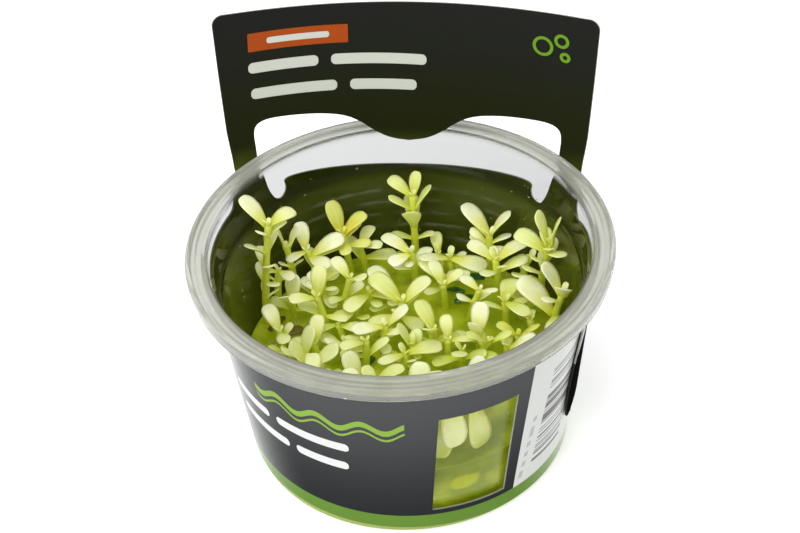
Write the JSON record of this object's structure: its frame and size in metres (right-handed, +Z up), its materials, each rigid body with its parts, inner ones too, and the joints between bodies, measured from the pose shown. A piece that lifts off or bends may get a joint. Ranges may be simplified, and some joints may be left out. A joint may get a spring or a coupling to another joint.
{
  "type": "potted aquarium plant",
  "caption": "Clear flanged tub of nutrient gel with pale, spoon-leaved rooted shoots, in a die-cut card sleeve with a view window and an upright header.",
  "frame": {"origin": "centre of the tub's flat foot, on the surface it stands on", "axes": "+Z up out of the tub, +Y towards the header card, +X to the viewer's right, the label front facing -Y"},
  "size_m": [0.1024, 0.1024, 0.0962],
  "materials": {
    "cup": "clear gloss",
    "gel": "wet translucent",
    "sleeve": "coated card, satin",
    "shoot": "soft satin leaf"
  },
  "bodies": {
    "root": {"cup": "cup", "gel": "gel", "shoot_01": "shoot", "shoot_02": "shoot", "shoot_03": "shoot", "shoot_04": "shoot", "shoot_05": "shoot", "shoot_06": "shoot", "shoot_07": "shoot", "shoot_08": "shoot", "shoot_09": "shoot", "shoot_10": "shoot", "shoot_11": "shoot", "shoot_12": "shoot", "shoot_13": "shoot", "shoot_14": "shoot", "shoot_15": "shoot", "shoot_16": "shoot", "shoot_17": "shoot", "shoot_18": "shoot", "shoot_19": "shoot", "shoot_20": "shoot", "shoot_21": "shoot", "shoot_22": "shoot", "shoot_23": "shoot", "shoot_24": "shoot", "shoot_25": "shoot", "shoot_26": "shoot", "shoot_27": "shoot", "shoot_28": "shoot", "shoot_29": "shoot", "shoot_30": "shoot", "shoot_31": "shoot", "shoot_32": "shoot", "shoot_33": "shoot", "shoot_34": "shoot", "shoot_35": "shoot", "shoot_36": "shoot", "shoot_37": "shoot", "shoot_38": "shoot", "shoot_39": "shoot", "sleeve": "sleeve"}
  },
  "joints": []
}
